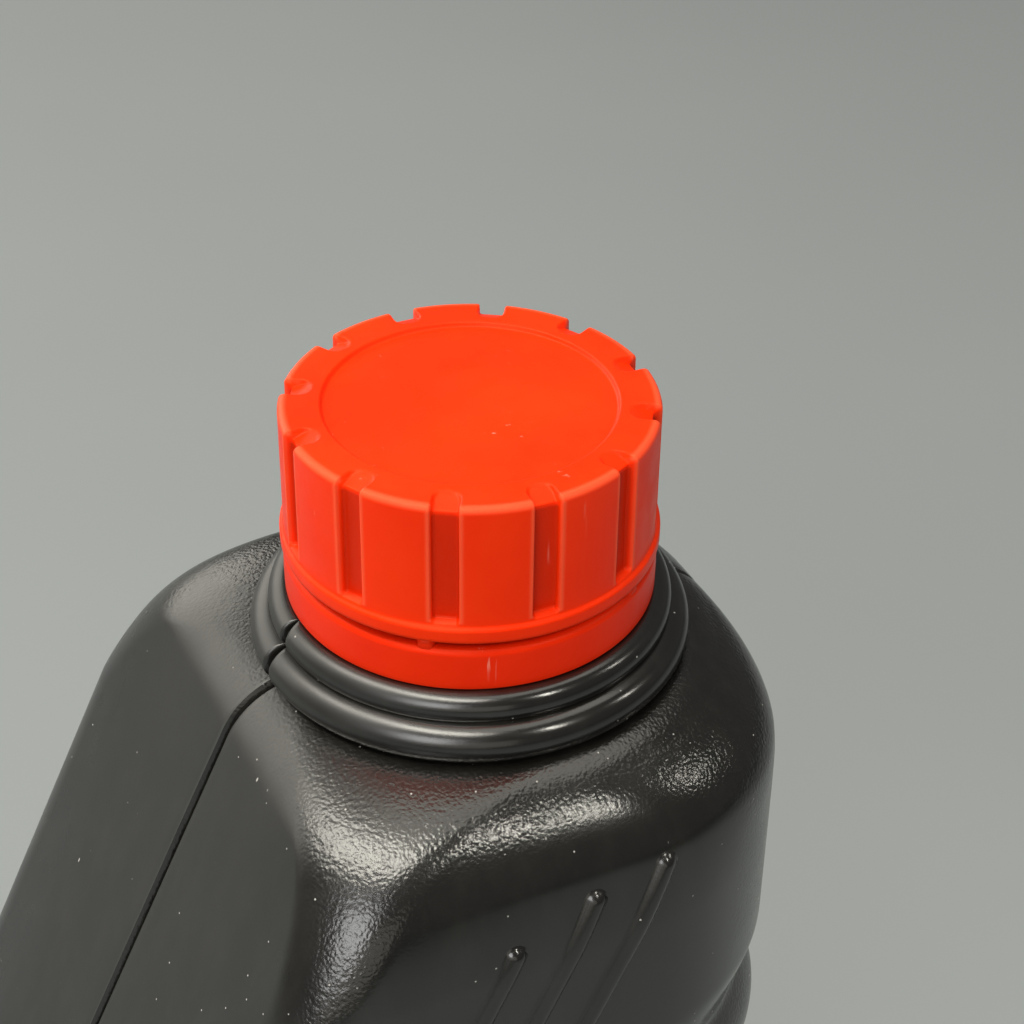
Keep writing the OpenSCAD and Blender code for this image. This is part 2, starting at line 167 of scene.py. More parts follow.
def scoop(z):
    """How far the grip side is drawn in at height z."""
    u, ribs = GRIP_TOP - z, RIB_COUNT * RIB_PITCH
    if u <= 0 or u >= 2 * GRIP_KNEE + ribs:
        return 0.0
    if u < GRIP_KNEE:
        return RIB_DEPTH * ease(u / GRIP_KNEE)
    if u <= GRIP_KNEE + ribs:
        return RIB_DEPTH * (1 - abs(math.sin(math.pi * (u - GRIP_KNEE) / RIB_PITCH)))
    return RIB_DEPTH * (1 - ease((u - GRIP_KNEE - ribs) / GRIP_KNEE))


def left_x(z, g):
    """Left end of the section: a roll, then the slanted side, then the upright side."""
    t, r = SHOULDER_H - g - z, SLANT_ROLL_R - g
    bend = r * (1 - math.sin(SLANT_ANGLE))
    start = NECK_X - COLLAR_R - SLANT_LAND
    if t < bend:
        x = start - roll_out(t, r, r)
    else:
        x = start - r * math.cos(SLANT_ANGLE) - (t - bend) * math.tan(SLANT_ANGLE)
    return float(soft_max(x, g - BODY_W / 2, SLANT_BLEND))


def right_x(z, g):
    """Right end of the section: a roll over the grip side, which its ribs draw in."""
    t = SHOULDER_H - g - z
    roll = roll_out(t, GRIP_ROLL_H - g, GRIP_ROLL_W - g)
    return float(BODY_W / 2 - GRIP_ROLL_W + roll - scoop(z))


def half_d(z, g, drop):
    """Half depth of the section, under a dome that comes down over the given drop."""
    rise = 1 - min(max(SHOULDER_H - g - z, 0) / (drop - g), 1)
    return BODY_D / 2 - ROLL_W + (ROLL_W - g) * (1 - rise ** DOME_POWER) ** (1 / DOME_POWER)


def slant_corner(z, g):
    """Corner radius beside the slanted side, which grows towards the collar."""
    rise = max(1 - (SHOULDER_H - g - z) / ROLL_H_SLANT, 0)
    crown = (CROWN_CORNER_R - TOP_CORNER_R) * rise ** CROWN_POWER
    return SLANT_CORNER_R - g + (TOP_CORNER_R - SLANT_CORNER_R) * rise + crown


def measures(z, g=0.0, i=0.0):
    """Left and right ends, half depths and corner radii of the section at height z, inset by i."""
    s = max(z, BASE_ROLL)
    dr, dl = half_d(s, g, ROLL_H_GRIP) - i, half_d(s, g, ROLL_H_SLANT) - i
    rr = max(min(GRIP_CORNER_R - g, dr + i - LEAST_CORNER_R) - i, LEAST_CORNER_R)
    rl = max(slant_corner(s, g) - i, LEAST_CORNER_R)
    return left_x(s, g) + i, right_x(s, g) - i, dl, dr, rl, rr


def across(half):
    """Places from -half to half across an end of the section, always as many."""
    near = NEAR_LINE[NEAR_LINE < half * NEAR_SHARE]
    far = near[-1] + FAR_SHARES * (half - near[-1])
    side = np.concatenate([near, far])
    spare = len(NEAR_LINE) - len(near)
    if spare:
        last = side[-1] + (half - side[-1]) * np.arange(1, spare + 1) / (spare + 1)
        side = np.concatenate([side, last])
    return np.concatenate([-side[:0:-1], side])


def arc(cx, cy, r, start, steps):
    """A quarter circle in plan from the start angle, in degrees."""
    a = math.radians(start) + math.pi / 2 * np.linspace(0, 1, steps + 1)
    return np.stack([cx + r * np.cos(a), cy + r * np.sin(a)], 1)


def along(p, q, steps):
    """Points between p and q, without the two."""
    u = np.linspace(0, 1, steps + 1)[1:-1, None]
    return p + (q - p) * u


def section(xl, xr, dl, dr, rl, rr, grip, slant, face):
    """One closed outline, counter-clockwise from the front of the grip side."""
    front_r = arc(xr - rr, rr - dr, rr, -90, grip)
    back_r = arc(xr - rr, dr - rr, rr, 0, grip)
    back_l = arc(xl + rl, dr - rl, rl, 90, slant)
    front_l = arc(xl + rl, rl - dr, rl, 180, slant)
    end_r, end_l = across(dr - rr), across(dr - rl)[::-1]
    outline = np.concatenate([
        front_r, np.stack([np.full(len(end_r), xr), end_r], 1), back_r,
        along(back_r[-1], back_l[0], face), back_l,
        np.stack([np.full(len(end_l), xl), end_l], 1), front_l,
        along(front_l[-1], front_r[0], face)])
    outline[:, 1] *= 1 - (xr - outline[:, 0]) / (xr - xl) * (1 - dl / dr)
    return outline


def ring(z, g=0.0, i=0.0, fine=FINE):
    """The section at height z, as points in space."""
    flat = section(*measures(z, g, i), *fine)
    return np.concatenate([flat, np.full((len(flat), 1), z)], 1)


def base_stations(g, steps):
    """Heights and insets of the rings from the hollow under the base to the end of its roll."""
    r, foot = BASE_ROLL - g, BASE_ROLL + BASE_RIM
    low = [(BASE_RISE + g, foot + BASE_RISE - g), (g, foot - g)]
    turn = [math.pi / 2 * k / steps for k in range(steps)]
    return low + [(BASE_ROLL - r * math.cos(a), r * (1 - math.sin(a))) for a in turn]


def heights(g, skip=1):
    """Heights of the rings from the base roll to the shoulder, skip times as coarse."""
    roll_foot = SHOULDER_H - g - ROLL_H_SLANT
    grip_steps = int((GRIP_TOP - GRIP_END) / (GRIP_STEP * skip))
    grip = np.linspace(GRIP_END, GRIP_TOP, grip_steps + 1)
    low = np.linspace(BASE_ROLL, GRIP_END, LOW_STEPS // skip + 1)[:-1]
    high = np.linspace(GRIP_TOP, roll_foot, HIGH_STEPS // skip + 1)[1:]
    turn = np.sin(np.linspace(0, math.pi / 2, ROLL_STEPS // skip + 1))[1:]
    return np.concatenate([low, grip, high, roll_foot + ROLL_H_SLANT * turn])


class Pile:
    """Points and faces of one piece, put together from several patches."""

    def __init__(self):
        self.points, self.faces, self.count = [], [], 0

    def add(self, points, faces):
        """A patch, whose faces count its own points from 0."""
        self.points.append(np.asarray(points, float))
        self.faces.extend([tuple(int(v) + self.count for v in f) for f in faces])
        self.count += len(points)

    def grid(self, rows, closed=True, flip=False):
        """Rows of points joined by quads; a closed row joins its last point to its first."""
        rows = np.asarray(rows, float)
        m, n = rows.shape[:2]
        faces = []
        for k in range(m - 1):
            for j in range(n if closed else n - 1):
                a, b = k * n + j, k * n + (j + 1) % n
                quad = (a, b, b + n, a + n)
                faces.append(quad[::-1] if flip else quad)
        self.add(rows.reshape(-1, 3), faces)

    def fan(self, row, centre, flip=False):
        """A closed row joined to one point by triangles."""
        n = len(row)
        faces = [(j, (j + 1) % n, n) for j in range(n)]
        self.add(np.concatenate([row, [centre]]), [f[::-1] for f in faces] if flip else faces)

    def piece(self, name, material, body, node, slot):
        """The patches as one smooth object that rides on a body and replaces a node."""
        mesh = bpy.data.meshes.new(name)
        points = np.concatenate(self.points) * MM
        mesh.from_pydata(points.tolist(), [], self.faces)
        mesh.polygons.foreach_set("use_smooth", [True] * len(mesh.polygons))
        mesh.set_sharp_from_angle(angle=SHARP_ANGLE)
        mesh.validate()
        mesh.materials.append(material)
        piece = bpy.data.objects.new(name, mesh)
        bpy.context.scene.collection.objects.link(piece)
        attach(piece, body)
        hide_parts(node)


def around(radius, height, angles):
    """Points at a radius and height round the neck's axis."""
    spread = [NECK_X + radius * np.cos(angles), radius * np.sin(angles)]
    return np.stack(spread + [np.broadcast_to(height, np.shape(radius))], -1)


def turned(profile, angles, shape=None):
    """Rings of a turned profile round the neck axis; shape may change each ring."""
    rows = []
    for r, z in profile:
        radius, height = np.full(len(angles), float(r)), np.full(len(angles), float(z))
        if shape:
            radius, height = shape(radius, height, angles)
        rows.append(around(radius, height, angles))
    return rows


def arc_rz(r, z, size, start, stop, steps):
    """Part of a circle in a turned profile, between two angles in degrees."""
    a = np.radians(np.linspace(start, stop, steps))
    return [(r + size * math.cos(t), z + size * math.sin(t)) for t in a]


# The parting line, sunk into both narrow ends of the shell
def bell(y, width):
    """Bell curve, 1 at its middle."""
    return np.exp(-(y / width) ** 2)


def line_depth(y):
    """Depth of the parting line at distance y from the middle plane."""
    return VEE_D * bell(y, VEE_W) + SLIT_D * bell(y, SLIT_W)


def flash_height(y, z):
    """Height of the lip of plastic that stands along the back edge of the parting line."""
    return FLASH_H * bell(y - FLASH_Y, FLASH_W) * ease((z - FLASH_Z) / FLASH_RUN)


def cut_line(rows):
    """Moves the points near the middle plane of a stack of rings along the surface's normal."""
    rows = rows.copy()
    y, z = rows[:, :, 1], rows[:, :, 2]
    near = np.abs(y) < LINE_REACH
    up = np.gradient(rows, axis=0)
    grip_side = rows[:, :, 0] > NECK_X
    out = np.where(grip_side, 1.0, -1.0)
    normal_x, normal_z = out * up[:, :, 2], -out * up[:, :, 0]
    size = np.hypot(normal_x, normal_z)
    size[size == 0] = 1.0
    depth = np.where(near, line_depth(y) * np.where(grip_side, GRIP_LINE_SHARE, 1.0), 0)
    depth -= np.where(near & ~grip_side, flash_height(y, z), 0)
    rows[:, :, 0] -= depth * normal_x / size
    rows[:, :, 2] -= depth * normal_z / size
    return rows


# The raised beads on the front and back faces
def front_y(x, z):
    """Half depth of the shell at places on its front face."""
    out = np.zeros_like(x)
    for k, (px, pz) in enumerate(zip(x.ravel(), z.ravel())):
        xl, xr, dl, dr, rl, rr = measures(float(pz))
        if px > xr - rr:
            y = dr - rr + math.sqrt(max(rr * rr - (px - xr + rr) ** 2, 0))
        elif px < xl + rl:
            y = dr - rl + math.sqrt(max(rl * rl - (xl + rl - px) ** 2, 0))
        else:
            y = dr
        out.ravel()[k] = y * (1 - (xr - px) / (xr - xl) * (1 - dl / dr))
    return out


def bead_lift(gap):
    """Height of a bead over the face, at a gap from its middle line."""
    half = BEAD_W / 2
    r = (half ** 2 + BEAD_H ** 2) / (2 * BEAD_H)
    crown = np.sqrt(np.maximum(r * r - np.minimum(gap, half) ** 2, 0)) - (r - BEAD_H)
    fillet = BEAD_FILLET_H * np.maximum(1 - np.abs(gap - half) / BEAD_FILLET_W, 0) ** 2
    dip = BEAD_DIP * ease((gap - half - BEAD_DIP_START) / BEAD_DIP_W)
    return np.maximum(crown, 0) + fillet - dip


def add_bead(pile, n, back):
    """A slanting bead laid on the front or the back face; n counts from the neck side."""
    fall = BEAD_TIP_FALL * n ** BEAD_TIP_BEND
    tip_z = SHOULDER_H - BEAD_TIP_DROP - fall
    tip_x = NECK_X + BEAD_TIP_X - n * BEAD_PITCH - fall * math.tan(SLANT_ANGLE)
    run = (tip_z - BEAD_FOOT) / math.cos(SLANT_ANGLE)
    reach = BEAD_W / 2 + BEAD_SKIRT
    end = np.linspace(-reach, reach, BEAD_END_STEPS)
    middle = np.linspace(reach, run - reach, BEAD_RUN_STEPS)[1:-1]
    cross = np.linspace(-reach, reach, BEAD_CROSS_STEPS)
    s, c = np.meshgrid(np.concatenate([end, middle, run + end]), cross, indexing="ij")
    lift = bead_lift(np.hypot(c, s - np.clip(s, 0, run)))
    x = tip_x - s * math.sin(SLANT_ANGLE) + c * math.cos(SLANT_ANGLE)
    z = tip_z - s * math.cos(SLANT_ANGLE) - c * math.sin(SLANT_ANGLE)
    y = np.minimum(front_y(x, z) + lift, BODY_D / 2 + BEAD_H)
    pile.grid(np.stack([x, y if back else -y, z], 2), closed=False, flip=not back)


# The collar, the neck and the threads
def split_rings(radius, height, angles):
    """The collar's rings end in round noses at the parting line, but run on at the grip side."""
    core = COLLAR_R - RING_ROOT
    y = np.abs(radius * np.sin(angles))
    grip_side = np.cos(angles) > 0
    slant_nose = np.where(np.sin(angles) > 0, BACK_NOSE, FRONT_NOSE)
    nose = np.where(grip_side, GRIP_NOSE, slant_nose)
    full = np.sqrt(1 - (1 - np.minimum(y / nose, 1)) ** 2)
    full = np.maximum(full, np.where(grip_side, GRIP_NOSE_SHARE, 0.0))
    return np.where(radius > core, core + (radius - core) * full, radius), height


def angle_steps():
    """Angles round the neck, close together at the parting line."""
    quarter = np.concatenate([NEAR_ANGLES, FAR_ANGLES])
    half = np.concatenate([quarter, 180 - quarter[-2::-1]])
    whole = np.concatenate([half, -half[-2:0:-1]])
    return np.radians(np.sort(whole % 360))


def collar_profile():
    """Profile from the foot of the lower ring over the neck's rim and down its bore."""
    low_r, low_z, low = COLLAR_R + LOWER_RING_OUT, LOWER_RING_Z, LOWER_RING_R
    top_r, top_z, top = COLLAR_R, UPPER_RING_Z, UPPER_RING_R
    reach = math.hypot(low_r - top_r, low_z - top_z)
    aim = math.degrees(math.atan2(top_z - low_z, top_r - low_r))
    open_low = math.degrees(math.acos((reach ** 2 + low ** 2 - top ** 2) / (2 * reach * low)))
    open_top = math.degrees(math.acos((reach ** 2 + top ** 2 - low ** 2) / (2 * reach * top)))
    lower = arc_rz(low_r, low_z, low, RING_FOOT_ANGLE, aim - open_low, RING_STEPS)
    upper = arc_rz(top_r, top_z, top, aim - 180 + open_top, RING_TOP_ANGLE, RING_STEPS)
    cove = [(NECK_R + COVE_OUT, top_z + COVE_FOOT), (NECK_R, top_z + COVE_TOP)]
    hold = arc_rz(NECK_R, SHOULDER_H + HOLD_BEAD_H, HOLD_BEAD_R,
                  -HOLD_BEAD_ANGLE, HOLD_BEAD_ANGLE, HOLD_BEAD_STEPS)
    rim = arc_rz(NECK_R - RIM_EDGE, RIM_Z - RIM_EDGE, RIM_EDGE, 0, 90, RIM_STEPS)
    rim += arc_rz(BORE_R + BORE_EDGE, RIM_Z - BORE_EDGE, BORE_EDGE, 90, 180, BORE_STEPS)
    bore = [(BORE_R, top_z), (COLLAR_IN, SHOULDER_H - WALL / 2), (MOUTH_R, SHOULDER_H - WALL)]
    return lower + upper + cove + hold + rim + bore


def add_thread(pile, root, crest, turns, start_z):
    """A screw rib with a rounded crest that fades at its ends."""
    steps = int(turns * THREAD_STEPS)
    bevel_half, flat_half = THREAD_BEVEL_W * THREAD_CREST / 2, THREAD_FLAT_W * THREAD_CREST / 2
    rows = []
    for i in range(steps + 1):
        a = 2 * math.pi * i / THREAD_STEPS
        full = max(min(i, steps - i, THREAD_FADE) / THREAD_FADE, THREAD_LEAST)
        r = root + (crest - root) * full
        edge = root + (r - root) * THREAD_BEVEL
        rise = start_z + THREAD_PITCH * i / THREAD_STEPS
        half = [(root, THREAD_ROOT / 2), (edge, bevel_half), (r, flat_half)]
        cross = [(q, -w) for q, w in half] + half[::-1]
        rows.append([(NECK_X + q * math.cos(a), q * math.sin(a), rise + w) for q, w in cross])
    pile.grid(rows, closed=False, flip=crest > root)


def mouth_ring(row, z):
    """Circle under the collar, with a point in line with each point of a ring of the shell."""
    angles = np.arctan2(row[:, 1], row[:, 0] - NECK_X)
    return around(np.full(len(row), MOUTH_R), z, angles)


def add_outside(pile):
    """The shell's outside, the hollow under its base and the land round the collar."""
    low = np.array([ring(z, 0, i) for z, i in base_stations(0, BASE_STEPS)])
    side = np.array([ring(z) for z in heights(0)])
    skin = cut_line(np.concatenate([low, side]))
    pile.grid(skin)
    hollow, top = skin[0], skin[-1]
    middle = hollow.mean(0)
    inward = [hollow * u + middle * (1 - u) for u in HOLLOW_SHARES]
    pile.grid(inward)
    pile.fan(inward[0], middle, flip=True)
    mouth = mouth_ring(top, SHOULDER_H)
    pile.grid([top * (1 - u) + mouth * u for u in np.linspace(0, 1, LAND_STEPS)])


def add_inside(pile):
    """The shell's inside, one wall in, with fewer points."""
    inside = [ring(z, WALL, i, COARSE) for z, i in base_stations(WALL, INNER_BASE_STEPS)]
    inside += [ring(z, WALL, 0, COARSE) for z in heights(WALL, COARSE_SKIP)]
    pile.grid(inside, flip=True)
    pile.fan(inside[0], inside[0].mean(0))
    pile.grid([inside[-1], mouth_ring(inside[-1], SHOULDER_H - WALL)], flip=True)


def make_bottle(material):
    """The blown shell with its neck, thread and beads, as one piece."""
    pile = Pile()
    add_outside(pile)
    add_inside(pile)
    pile.grid(turned(collar_profile(), angle_steps(), split_rings))
    add_thread(pile, NECK_R - NECK_THREAD_SINK, NECK_R + THREAD_H, NECK_TURNS,
               CAP_Z + THREAD_START)
    for n in range(BEAD_COUNT):
        add_bead(pile, n, back=False)
        add_bead(pile, n, back=True)
    pile.piece("bottle_shell", material, "bottle", "bottle", "black_shell")


# The cap: its surface is found along rays from inside, so that every edge is rounded
def smooth_union(a, b, k):
    """Distance to a and b together, rounded over k where they meet."""
    h = np.maximum(k - np.abs(a - b), 0)
    return np.minimum(a, b) - h * h / (4 * k)


def smooth_cut(a, b, k):
    """Distance to a with b taken out of it, its edge rounded over k."""
    return -smooth_union(-a, b, k)


def smooth_overlap(a, b, k):
    """Distance to what a and b share, its edge rounded over k."""
    return -smooth_union(-a, -b, k)


def rounded(parts, r):
    """Distance to a block whose face distances are given, with edges of radius r."""
    out = [np.maximum(p + r, 0) for p in parts]
    inside = np.minimum(np.max(np.stack([p + r for p in parts]), 0), 0)
    return np.sqrt(sum(o * o for o in out)) + inside - r


def flute_distance(r, turn, z):
    """Signed distance to a flute: an upright slot, and a ramp under an arch in the cap's rim."""
    out, aside = r * np.cos(turn), r * np.sin(turn)
    floor_r, half = CAP_R - FLUTE_D, FLUTE_W / 2
    slot = rounded([np.abs(aside) - half, floor_r - out, FLUTE_Z - z], FLUTE_CORNER)
    plan = np.hypot(np.maximum(RAMP_R + half - out, 0), aside) - half
    slope = RAMP_DROP / (floor_r - RAMP_R)
    ramp = (CAP_TOP - slope * (out - RAMP_R) - z) / math.hypot(1, slope)
    return smooth_union(slot, smooth_overlap(plan, ramp, ARCH_EDGE), ARCH_BLEND)


def cap_distance(r, turn, z):
    """Signed distance to the cap's outside; turn is the angle from the nearest flute."""
    side = rounded([r - CAP_R, z - CAP_TOP], CAP_EDGE)
    flange = rounded([r - FLANGE_R, z - (CAP_Z + FLANGE_H)], FLANGE_EDGE)
    solid = smooth_union(side, flange, FLANGE_BLEND)
    dish = DISC_DISH * np.maximum(1 - (r / DISC_R) ** 2, 0)
    disc = rounded([r - DISC_R, (CAP_TOP - DISC_SINK - dish) - z], DISC_EDGE)
    solid = smooth_cut(solid, disc, DISC_EDGE)
    return smooth_cut(solid, flute_distance(r, turn, z), FLUTE_LIP)


def cap_columns():
    """Angles round the cap, close together at the flutes' walls, and each from its flute."""
    half, wall = FLUTE_W / 2 / CAP_R, FLUTE_WALL / CAP_R
    pitch = 2 * math.pi / FLUTE_COUNT
    side = np.concatenate([
        np.linspace(0, half - wall, FLUTE_FLOOR_STEPS)[:-1],
        np.linspace(half - wall, half + wall, FLUTE_WALL_STEPS)[:-1],
        np.linspace(half + wall, pitch / 2, FLUTE_LAND_STEPS)])
    one = np.concatenate([-side[-2:0:-1], side])
    angles = [FLUTE_PHASE + k * pitch + one for k in range(FLUTE_COUNT)]
    return np.concatenate(angles), np.tile(one, FLUTE_COUNT)


def cap_rays():
    """Rays in a half plane, as start radius, start height and direction: out, round and up."""
    focus_z = CAP_TOP - FOCUS_DROP
    # First and last place and number of rays: flange, its top and the flutes' feet, side
    side = [(CAP_Z + 0.3, CAP_Z + 1.2, 4), (CAP_Z + 1.3, FLUTE_Z + 0.9, 18),
            (FLUTE_Z + 1.3, focus_z, 16)]
    # The same over the disc's edge and the disc
    top = [(FOCUS_R, DISC_R - 0.9, 14), (DISC_R - 1.3, 0.4, 14)]
    rays = [(FOCUS_R, z, 1.0, 0.0) for zone in side for z in np.linspace(*zone)]
    for a in np.radians(np.linspace(0, 90, EDGE_RAY_STEPS + 1)[1:-1]):
        rays.append((FOCUS_R, focus_z, math.cos(a), math.sin(a)))
    rays += [(r, focus_z, 0.0, 1.0) for zone in top for r in np.linspace(*zone)]
    return np.array(rays)


def make_cap(material):
    """The cap, with its flutes, hollow and thread, as one piece."""
    angles, turn = cap_columns()
    start_r, start_z, out, up = cap_rays().T[:, :, None]
    t = np.full((len(start_r), len(angles)), RAY_REACH)
    for _ in range(RAY_TRIES):
        gap = cap_distance(start_r + out * t, turn[None, :], start_z + up * t)
        t -= RAY_STRIDE * np.maximum(gap, 0)
    outer = around(start_r + out * t, start_z + up * t, angles)
    under = turned([
        (CAP_IN, CEILING_Z), (CAP_IN, CAP_Z + FOOT_EDGE), (CAP_IN + FOOT_EDGE, CAP_Z),
        (FLANGE_R - FLANGE_FOOT_R, CAP_Z),
        (FLANGE_R - FLANGE_FOOT_BEVEL, CAP_Z + FLANGE_FOOT_BEVEL)], angles)
    rows = np.concatenate([np.array(under), outer])
    pile = Pile()
    pile.grid(rows)
    pile.fan(rows[-1], (NECK_X, 0, rows[-1][:, 2].mean()))
    pile.fan(rows[0], (NECK_X, 0, CEILING_Z), flip=True)
    add_thread(pile, CAP_IN + CAP_THREAD_SINK, NECK_R + THREAD_GAP, CAP_TURNS,
               CAP_Z + THREAD_START - THREAD_PITCH / 2)
    pile.piece("fluted_cap", material, "cap", "screw_cap", "red_cap")


# The tamper band
def sag(angles):
    """Share of the band's sag at each angle: most at the front left."""
    off = (angles - SAG_ANGLE + math.pi) % (2 * math.pi) - math.pi
    return bell(off, SAG_SPREAD)


def band_shape(radius, height, angles):
    """The band hangs a little at the front left, and its outer wall wavers towards its top."""
    share = np.clip((height - BAND_Z) / BAND_H, 0, 1)
    wave = sum(size * np.sin(count * angles + phase) for size, count, phase in BAND_WAVES)
    off_neck = radius > NECK_R + HOLD_BEAD_R
    return radius + wave * share * off_neck, height - sag(angles) * (SAG_FOOT + SAG_TOP * share)


def band_profile():
    """Profile from the lip on the neck round the outside to the top edge and down the inside."""
    inner, lip = BAND_R - BAND_T, NECK_R + BAND_LIP_GAP
    foot_r, top_r = BAND_R - FOOT_INSET - BAND_FOOT_EDGE, BAND_R - TOP_INSET - BAND_TOP_EDGE
    foot = [(lip, BAND_Z), (inner - BAND_FOOT_IN, BAND_Z), (BAND_R - BAND_FOOT_OUT, BAND_Z)]
    foot += arc_rz(foot_r, BAND_Z + BAND_FOOT_EDGE, BAND_FOOT_EDGE, -90, 0, BAND_FOOT_STEPS)
    wall = [(BAND_R - LOW_INSET, BAND_Z + LOW_WALL_H), (BAND_R - MID_INSET, BAND_Z + MID_WALL_H),
            (BAND_R - TOP_INSET, BAND_TOP - TOP_WALL_DROP)]
    wall += arc_rz(top_r, BAND_TOP - BAND_TOP_EDGE, BAND_TOP_EDGE, 0, 90, BAND_TOP_STEPS)
    inside = [(inner + BAND_BEVEL, BAND_TOP), (inner, BAND_TOP - BAND_BEVEL),
              (inner, BAND_Z + BAND_LIP_H + BAND_LIP_SLOPE), (lip, BAND_Z + BAND_LIP_H)]
    return foot + wall + inside + foot[:1]


def add_bridge(pile, angle):
    """The stub of a break bridge: a small rounded block on the band's top edge."""
    inner, root = BAND_R - BAND_T, BAND_TOP - BRIDGE_ROOT
    back, tip = inner + BAND_BEVEL, CAP_Z - BRIDGE_CLEAR
    tip_r, upper_r, lower_r, root_r = (BAND_R - inset for inset in BRIDGE_INSETS)
    cross = [(back, root), (back, tip), (tip_r, tip), (upper_r, CAP_Z - BRIDGE_EDGE),
             (lower_r, BAND_TOP - BRIDGE_EDGE), (root_r, root)]
    u = np.linspace(-1, 1, BRIDGE_STEPS)
    angles = angle + np.sign(u) * np.abs(u) ** BRIDGE_CROWD * BRIDGE_W / 2 / BAND_R
    bulge = np.sqrt(1 - np.minimum(np.abs(u), BRIDGE_LIMIT) ** BRIDGE_POWER)
    rows = []
    for r, z in cross:
        height = root + (z - root) * (BRIDGE_SIDE_H + (1 - BRIDGE_SIDE_H) * bulge)
        rows.append(around(inner + (r - inner) * bulge, height, angles))
    pile.grid(rows, closed=False, flip=True)


def make_band(material):
    """The tamper band with its bridge stubs, as one piece."""
    pile = Pile()
    angles = np.linspace(0, 2 * math.pi, BAND_STEPS + 1)[:-1]
    pile.grid(turned(band_profile(), angles, band_shape))
    for k in range(BRIDGE_COUNT):
        add_bridge(pile, BRIDGE_PHASE + 2 * math.pi * k / BRIDGE_COUNT)
    pile.piece("tamper_ring", material, "bottle", "tamper_band", "red_band")


class Nodes:
    """Small helper that adds shader nodes to a new material and joins them."""

    def __init__(self, name):
        self.material = bpy.data.materials.new(name)
        self.material.use_nodes = True
        self.tree = self.material.node_tree
        self.shader = self.tree.nodes["Principled BSDF"]
        self.where = self.node("ShaderNodeTexCoord")
        self.place = self.where.outputs["Object"]

    def node(self, kind, inputs=None, **settings):
        """A new node with its settings made and its inputs set or linked."""
        n = self.tree.nodes.new(kind)
        for key, value in settings.items():
            setattr(n, key, value)
        for key, value in (inputs or {}).items():
            self.put(n.inputs[key], value)
        return n

    def put(self, socket, value):
        """Links another socket to this one, or sets its value."""
        if isinstance(value, bpy.types.NodeSocket):
            self.tree.links.new(value, socket)
        else:
            socket.default_value = value

    def shade(self, inputs):
        """Sets or links sockets of the material's shader."""
        for key, value in inputs.items():
            self.put(self.shader.inputs[key], value)

    def math(self, operation, a, b=None, clamp=False):
        n = self.node("ShaderNodeMath", {0: a}, operation=operation, use_clamp=clamp)
        if b is not None:
            self.put(n.inputs[1], b)
        return n.outputs[0]

    def plus(self, a, b):
        return self.math("ADD", a, b)

    def minus(self, a, b):
        return self.math("SUBTRACT", a, b)

    def times(self, a, b, clamp=False):
        return self.math("MULTIPLY", a, b, clamp)

    def larger(self, a, b):
        return self.math("MAXIMUM", a, b)

    def size(self, a):
        return self.math("ABSOLUTE", a)

    def xyz(self, vector):
        return self.node("ShaderNodeSeparateXYZ", {"Vector": vector}).outputs

    def place_mm(self):
        """The place as three values in millimetres."""
        scaled = self.node("ShaderNodeVectorMath", {0: self.place, "Scale": 1 / MM},
                           operation="SCALE")
        return self.xyz(scaled.outputs[0])

    def span(self, value, low, high, to_low=0.0, to_high=1.0):
        """Smooth step of a value between two limits."""
        n = self.node("ShaderNodeMapRange", {
            "Value": value, "From Min": low, "From Max": high, "To Min": to_low, "To Max": to_high},
            interpolation_type="SMOOTHSTEP")
        return n.outputs[0]

    def fall(self, value, low, high, rest=0.0):
        """Smooth step from 1 below the low limit down to rest above the high one."""
        return self.span(value, low, high, 1.0, rest)

    def noise(self, scale, detail=2.0, rough=0.5, vector=None):
        n = self.node("ShaderNodeTexNoise", {
            "Vector": self.place if vector is None else vector,
            "Scale": scale, "Detail": detail, "Roughness": rough})
        return n.outputs[0]

    def stretch(self, scale, turn=(0, 0, 0)):
        """The place, scaled and turned."""
        n = self.node("ShaderNodeMapping", {"Vector": self.place, "Scale": scale, "Rotation": turn})
        return n.outputs[0]

    def mix(self, share, a, b):
        n = self.node("ShaderNodeMix", {0: share, 6: a, 7: b}, data_type="RGBA")
        return n.outputs[2]

    def specks(self, vector, scale, size, keep):
        """Small scattered dots: one in some of the cells of a Voronoi grid."""
        v = self.node("ShaderNodeTexVoronoi", {"Vector": vector, "Scale": scale})
        pick = self.node("ShaderNodeSeparateColor", {"Color": v.outputs["Color"]})
        dot = self.span(v.outputs["Distance"], size, size * 0.4)
        return self.times(dot, self.math("GREATER_THAN", pick.outputs[0], keep))

    def bump(self, height, strength, depth):
        """Normal of a surface with the given height, depth millimetres deep."""
        n = self.node("ShaderNodeBump", {
            "Height": height, "Strength": strength, "Distance": depth * MM})
        return n.outputs[0]


def facing_slant(n):
    """How squarely a surface faces the way the slanted side does."""
    way = (-math.cos(SLANT_ANGLE), 0.0, math.sin(SLANT_ANGLE))
    dot = n.node("ShaderNodeVectorMath", {0: n.where.outputs["Normal"], 1: way},
                 operation="DOT_PRODUCT")
    return dot.outputs["Value"]


def grain_share(n, slant):
    """Where the mould's grain shows: on rolls and corners, and hardly on faces, beads and rings."""
    x, y, z = n.place_mm()
    facing = n.xyz(n.where.outputs["Normal"])
    flat = n.larger(n.larger(n.size(facing[1]), slant), facing[0])
    on_roll = n.fall(flat, 0.84, 0.992, rest=0.07)
    below_ring = n.fall(z, SHOULDER_H + 0.2, SHOULDER_H + 1.2, rest=0.05)
    off_panel = n.larger(n.fall(n.size(y), 27.5, 32.8), n.fall(x, -4.0, 3.0))
    off_panel = n.larger(off_panel, 0.06)
    patchy = n.span(n.noise(70.0), 0.32, 0.68, 0.55, 1.0)
    return n.times(n.times(n.times(on_roll, below_ring), off_panel), patchy)


